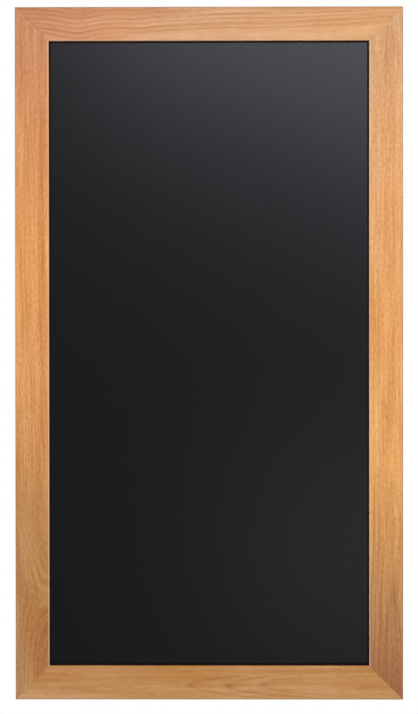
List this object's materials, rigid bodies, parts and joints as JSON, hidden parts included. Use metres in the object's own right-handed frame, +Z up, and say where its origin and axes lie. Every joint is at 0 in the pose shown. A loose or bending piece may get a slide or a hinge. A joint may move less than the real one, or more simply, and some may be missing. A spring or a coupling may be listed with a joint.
{
  "type": "wall chalkboard",
  "caption": "Tall black writing board in a mitred flat wooden frame, hung on the wall by D-rings on its back.",
  "frame": {"origin": "on the wall plane, midway between the points where the two D-rings bear on their wall hooks", "axes": "+X to the right seen from the front, +Y from the board to the wall, +Z up the board"},
  "size_m": [0.56, 0.023, 1],
  "materials": {
    "frame_wood": "fine straight grained hardwood, honey stain, satin lacquer",
    "black_melamine": "matt black melamine, very fine tooth for chalk",
    "fibreboard": "raw sawn edge",
    "kraft_paper": "plain brown, matt",
    "bright_steel": "stamped strip, plain",
    "zinc_plate": "zinc plated, slightly dull",
    "pad_rubber": "matt"
  },
  "bodies": {
    "board": {"top_rail": "frame_wood", "bottom_rail": "frame_wood", "left_stile": "frame_wood", "right_stile": "frame_wood", "writing_sheet": "black_melamine", "panel_core": "fibreboard", "backing_paper": "kraft_paper", "v_nail_top_left_outer": "bright_steel", "v_nail_top_left_inner": "bright_steel", "v_nail_top_right_outer": "bright_steel", "v_nail_top_right_inner": "bright_steel", "v_nail_bottom_left_outer": "bright_steel", "v_nail_bottom_left_inner": "bright_steel", "v_nail_bottom_right_outer": "bright_steel", "v_nail_bottom_right_inner": "bright_steel", "point_top_1": "bright_steel", "point_top_2": "bright_steel", "point_top_3": "bright_steel", "point_right_1": "bright_steel", "point_right_2": "bright_steel", "point_right_3": "bright_steel", "point_right_4": "bright_steel", "point_bottom_1": "bright_steel", "point_bottom_2": "bright_steel", "point_bottom_3": "bright_steel", "point_left_1": "bright_steel", "point_left_2": "bright_steel", "point_left_3": "bright_steel", "point_left_4": "bright_steel", "hanger_screw_left_upper": "zinc_plate", "hanger_screw_left_lower": "zinc_plate", "hanger_screw_right_upper": "zinc_plate", "hanger_screw_right_lower": "zinc_plate", "hanger_strap_left": "zinc_plate", "hanger_strap_right": "zinc_plate", "wall_pad_top_left": "pad_rubber", "wall_pad_top_right": "pad_rubber", "wall_pad_bottom_left": "pad_rubber", "wall_pad_bottom_right": "pad_rubber"},
    "left_ring": {"hanger_ring_left": "zinc_plate"},
    "right_ring": {"hanger_ring_right": "zinc_plate"}
  },
  "joints": [
    {"name": "left_ring_hinge", "type": "hinge", "parent": "board", "child": "left_ring", "pos_m": [-0.2555, -0.00275, -0.01598], "axis": [1, 0, 0], "range_deg": [-182, 0]},
    {"name": "right_ring_hinge", "type": "hinge", "parent": "board", "child": "right_ring", "pos_m": [0.2555, -0.00275, -0.01598], "axis": [1, 0, 0], "range_deg": [-182, 0]}
  ]
}
